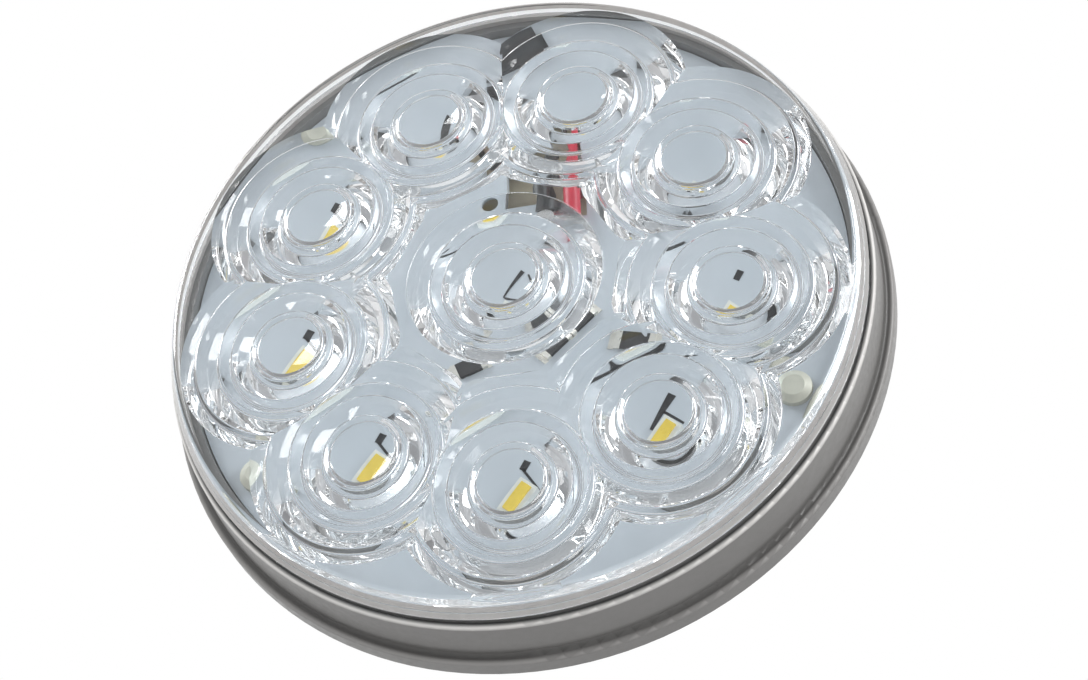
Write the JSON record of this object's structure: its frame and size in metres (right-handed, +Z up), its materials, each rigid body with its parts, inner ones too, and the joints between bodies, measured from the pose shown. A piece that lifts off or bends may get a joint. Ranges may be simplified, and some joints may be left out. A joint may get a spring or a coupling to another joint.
{
  "type": "trailer light",
  "caption": "Round sealed LED back-up lamp for a truck or trailer: grey flanged housing, clear bull's-eye lens, two-pin socket on the back.",
  "frame": {"origin": "centre of the flange's rear face, on the lamp's optical axis", "axes": "-Y is the way the lamp shines, +Y points out of its back, +Z is up as it hangs on an upright panel, +X to the right seen from the front"},
  "size_m": [0.109, 0.0412, 0.109],
  "materials": {
    "board_white": "white solder mask",
    "carrier_black": "black moulded plastic",
    "clear_lens": "clear polished polycarbonate",
    "diode_black": "black moulding compound",
    "housing_grey": "moulded satin grey plastic",
    "led_package": "white moulded package",
    "phosphor": "yellow silicone phosphor",
    "pin_brass": "brass",
    "potting_tan": "tan epoxy",
    "resistor_black": "black film with tinned ends",
    "screw_zinc": "yellow zinc plate",
    "seal": "black sealant",
    "solder": "bright solder",
    "wire_black": "black insulation",
    "wire_red": "red insulation"
  },
  "bodies": {
    "root": {"board_screws": "screw_zinc", "chip_resistor_1": "resistor_black", "chip_resistor_2": "resistor_black", "chip_resistor_3": "resistor_black", "chip_resistor_4": "resistor_black", "circuit_board": "board_white", "ground_pin": "pin_brass", "ground_wire": "wire_black", "housing": "housing_grey", "led_00": "led_package", "led_00_phosphor": "phosphor", "led_01": "led_package", "led_01_phosphor": "phosphor", "led_02": "led_package", "led_02_phosphor": "phosphor", "led_03": "led_package", "led_03_phosphor": "phosphor", "led_04": "led_package", "led_04_phosphor": "phosphor", "led_05": "led_package", "led_05_phosphor": "phosphor", "led_06": "led_package", "led_06_phosphor": "phosphor", "led_07": "led_package", "led_07_phosphor": "phosphor", "led_08": "led_package", "led_08_phosphor": "phosphor", "led_09": "led_package", "led_09_phosphor": "phosphor", "lens": "clear_lens", "lens_seal": "seal", "polarity_diode": "diode_black", "potting": "potting_tan", "power_pin": "pin_brass", "power_wire": "wire_red", "solder_joints": "solder", "surge_diode": "diode_black", "terminal_carrier": "carrier_black"}
  },
  "joints": []
}
